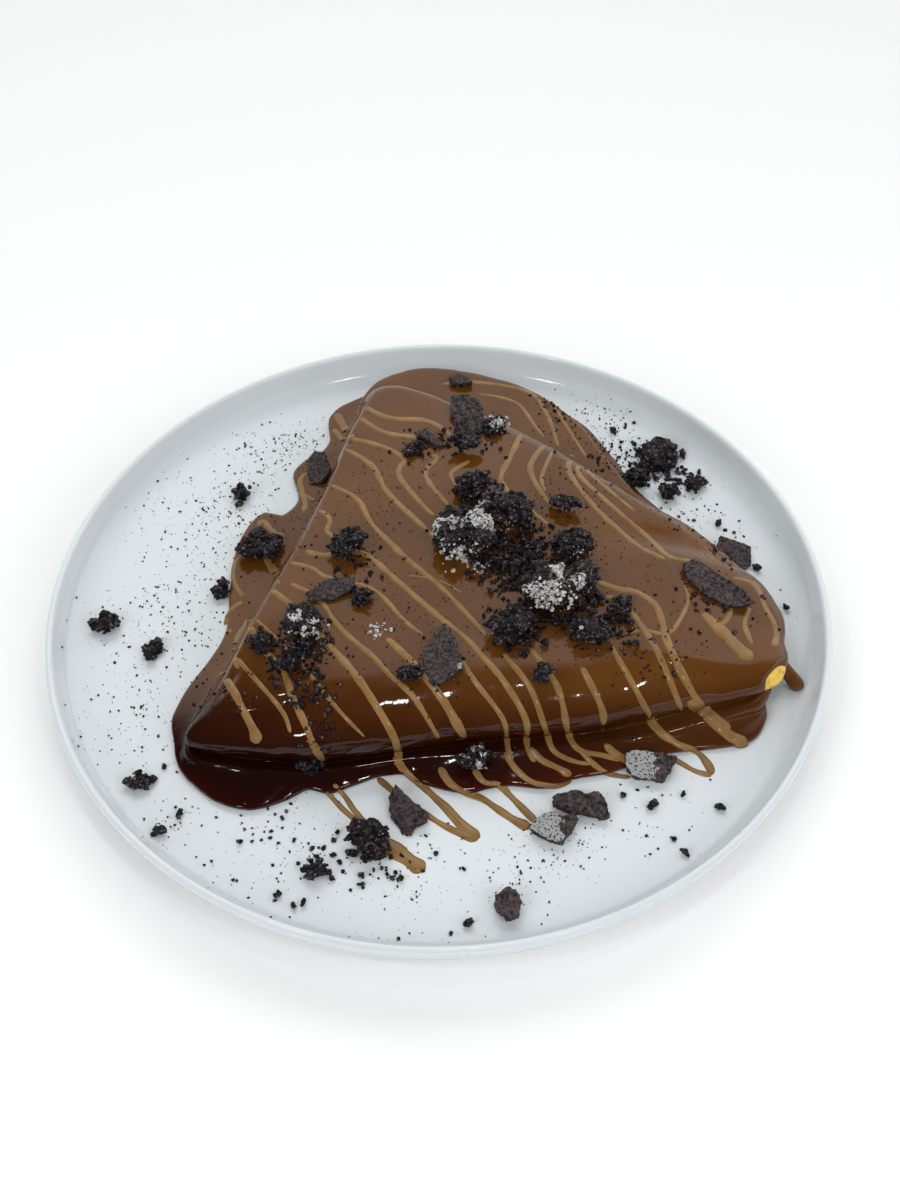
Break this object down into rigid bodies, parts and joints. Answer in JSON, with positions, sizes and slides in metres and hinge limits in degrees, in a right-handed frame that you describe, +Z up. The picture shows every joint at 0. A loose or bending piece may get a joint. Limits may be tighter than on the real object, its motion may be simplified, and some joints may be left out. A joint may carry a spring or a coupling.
{
  "type": "folded crepe",
  "caption": "Folded crepe under chocolate sauce with thin caramel-brown drizzle and broken chocolate cookie pieces, on a round white plate with a low rim",
  "frame": {"origin": "middle of the plate's foot, at the level of the table", "axes": "+Z up out of the plate, -Y towards the long front fold of the crepe, +X towards the crepe's right corner"},
  "size_m": [0.27, 0.27, 0.045],
  "materials": {
    "glazed_porcelain": "glazed white porcelain",
    "crepe_batter": "soft fried batter",
    "chocolate": "wet glossy sauce",
    "chocolate_cookie": "dry crumbly biscuit"
  },
  "bodies": {
    "root": {"plate": "glazed_porcelain", "crepe": "crepe_batter", "chocolate_sauce": "chocolate", "cookie_01": "chocolate_cookie", "cookie_02": "chocolate_cookie", "cookie_03": "chocolate_cookie", "cookie_04": "chocolate_cookie", "cookie_05": "chocolate_cookie", "cookie_06": "chocolate_cookie", "cookie_07": "chocolate_cookie", "cookie_08": "chocolate_cookie", "cookie_09": "chocolate_cookie", "cookie_10": "chocolate_cookie", "cookie_11": "chocolate_cookie", "cookie_12": "chocolate_cookie", "cookie_13": "chocolate_cookie", "cookie_14": "chocolate_cookie", "cookie_15": "chocolate_cookie", "cookie_16": "chocolate_cookie", "cookie_17": "chocolate_cookie", "cookie_18": "chocolate_cookie", "cookie_19": "chocolate_cookie", "cookie_20": "chocolate_cookie", "cookie_21": "chocolate_cookie", "cookie_22": "chocolate_cookie", "cookie_23": "chocolate_cookie", "cookie_24": "chocolate_cookie", "cookie_25": "chocolate_cookie", "cookie_26": "chocolate_cookie", "cookie_27": "chocolate_cookie", "cookie_28": "chocolate_cookie", "cookie_29": "chocolate_cookie", "cookie_30": "chocolate_cookie", "cookie_31": "chocolate_cookie", "cookie_32": "chocolate_cookie", "cookie_33": "chocolate_cookie", "cookie_34": "chocolate_cookie", "cookie_35": "chocolate_cookie", "cookie_36": "chocolate_cookie", "cookie_37": "chocolate_cookie", "cookie_38": "chocolate_cookie", "cookie_39": "chocolate_cookie", "cookie_40": "chocolate_cookie", "cookie_41": "chocolate_cookie", "cookie_42": "chocolate_cookie", "cookie_43": "chocolate_cookie", "cookie_44": "chocolate_cookie", "cookie_45": "chocolate_cookie", "cookie_46": "chocolate_cookie"}
  },
  "joints": []
}
